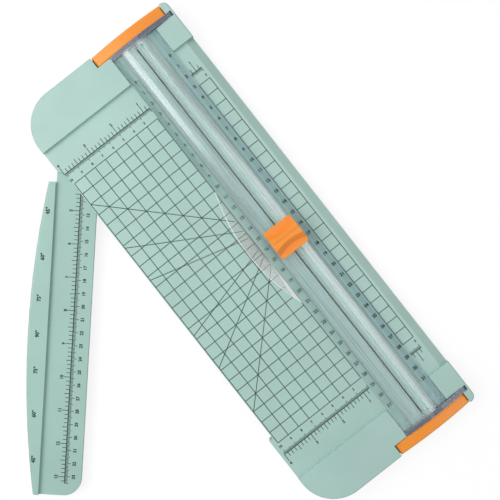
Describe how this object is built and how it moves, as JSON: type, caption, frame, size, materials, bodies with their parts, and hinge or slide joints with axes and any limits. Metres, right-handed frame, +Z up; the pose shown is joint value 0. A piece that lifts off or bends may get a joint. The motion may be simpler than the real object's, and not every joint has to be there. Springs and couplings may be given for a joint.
{
  "type": "paper cutter",
  "caption": "Desk paper cutter: flat printed bed with raised ends, clear lifting rail over the cut line, sliding press cutter on the rail, and a ruler arm that swings out from under the bed.",
  "frame": {"origin": "on the table, in the middle of the footprint of the whole part with the ruler swung out as stored", "axes": "+Y along the cut line away from the user's near end, +X across the bed towards the rail's hinge, +Z up"},
  "size_m": [0.3108, 0.382, 0.0303],
  "materials": {
    "green_plastic": "fine satin",
    "clear_plastic": "clear, polished",
    "orange_plastic": "satin gloss",
    "white_plastic": "smooth",
    "dark_plastic": "matt",
    "steel": "bright",
    "foot_rubber": "matt"
  },
  "bodies": {
    "base": {"base_tray": "green_plastic", "cutting_strip": "dark_plastic", "ruler_washer": "steel", "ruler_screw": "steel", "hinge_pin_far": "steel", "hinge_pin_near": "steel", "foot_far_left": "foot_rubber", "foot_far_right": "foot_rubber", "foot_near_left": "foot_rubber", "foot_near_right": "foot_rubber"},
    "ruler": {"ruler_arm": "green_plastic"},
    "rail": {"clear_rail": "clear_plastic", "end_arm_far": "orange_plastic", "end_arm_near": "orange_plastic"},
    "cutter": {"cutter_guide": "white_plastic", "press_spring_left": "steel", "press_spring_right": "steel"},
    "press": {"cutter_cap": "orange_plastic", "blade_carrier": "orange_plastic", "cutting_blade": "steel", "blade_pin": "steel"}
  },
  "joints": [
    {"name": "ruler_swing", "type": "hinge", "parent": "base", "child": "ruler", "pos_m": [0.02839, 0.139, 0.0067], "axis": [0, 0, -1], "range_deg": [-41.38, 48.62]},
    {"name": "rail_lift", "type": "hinge", "parent": "base", "child": "rail", "pos_m": [0.15069, 0, 0.0125], "axis": [0, 1, 0], "range_deg": [0, 45]},
    {"name": "cutter_slide", "type": "slide", "parent": "rail", "child": "cutter", "axis": [0, 1, 0], "range_m": [-0.159, 0.172]},
    {"name": "cap_press", "type": "slide", "parent": "cutter", "child": "press", "axis": [0, 0, -1], "range_m": [0, 0.003], "stiffness_N_per_m": 400, "springref_m": -0.002, "deforming": ["press_spring_left", "press_spring_right"]}
  ]
}
